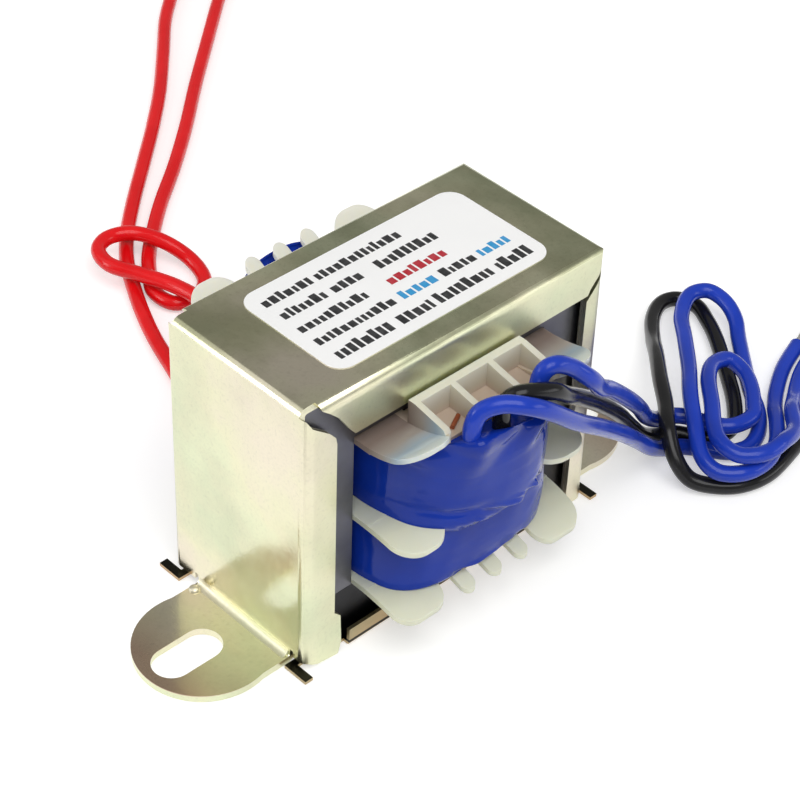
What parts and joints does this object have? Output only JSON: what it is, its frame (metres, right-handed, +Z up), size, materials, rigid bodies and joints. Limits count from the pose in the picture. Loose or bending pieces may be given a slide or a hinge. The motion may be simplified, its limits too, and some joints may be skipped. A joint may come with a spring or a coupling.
{
  "type": "laminated chassis transformer",
  "caption": "Small laminated mains transformer in a folded steel channel frame with slotted mounting feet, a taped two-chamber bobbin and flying leads.",
  "frame": {"origin": "under the middle of the core, on the plane that the feet and the closing plate rest on", "axes": "+X along the two feet, towards the side where the blue and black leads leave; +Y across the stack, towards the red leads; +Z up, from the feet to the label"},
  "size_m": [0.1211, 0.1585, 0.0417],
  "materials": {
    "plated_steel": "bright yellow-passivated zinc plate, glossy",
    "plate_steel": "bright plated sheet with a brown tint",
    "silicon_steel": "satin rolled sheet",
    "dark_steel": "dark oxide-coated sheet",
    "nylon": "translucent natural nylon",
    "enamelled_copper": "enamelled copper wire",
    "blue_tape": "glossy polyester tape",
    "blue_pvc": "satin insulation",
    "black_pvc": "satin insulation",
    "red_pvc": "satin insulation",
    "tinned_copper": "tinned strands",
    "label": "white film with plain printed bars"
  },
  "bodies": {
    "root": {"frame_bracket": "plated_steel", "bottom_plate": "plate_steel", "laminations_e_up": "silicon_steel", "laminations_e_down": "silicon_steel", "laminations_i_bottom": "dark_steel", "laminations_i_top": "silicon_steel", "bobbin": "nylon", "primary_winding": "enamelled_copper", "secondary_winding": "enamelled_copper", "lower_tape": "blue_tape", "upper_tape": "blue_tape", "winding_tail": "enamelled_copper", "blue_lead_1": "blue_pvc", "black_lead": "black_pvc", "blue_lead_2": "blue_pvc", "red_lead_1": "red_pvc", "red_lead_2": "red_pvc", "blue_tip_1": "tinned_copper", "black_tip": "tinned_copper", "blue_tip_2": "tinned_copper", "red_tip_1": "tinned_copper", "red_tip_2": "tinned_copper", "rating_label": "label"}
  },
  "joints": []
}
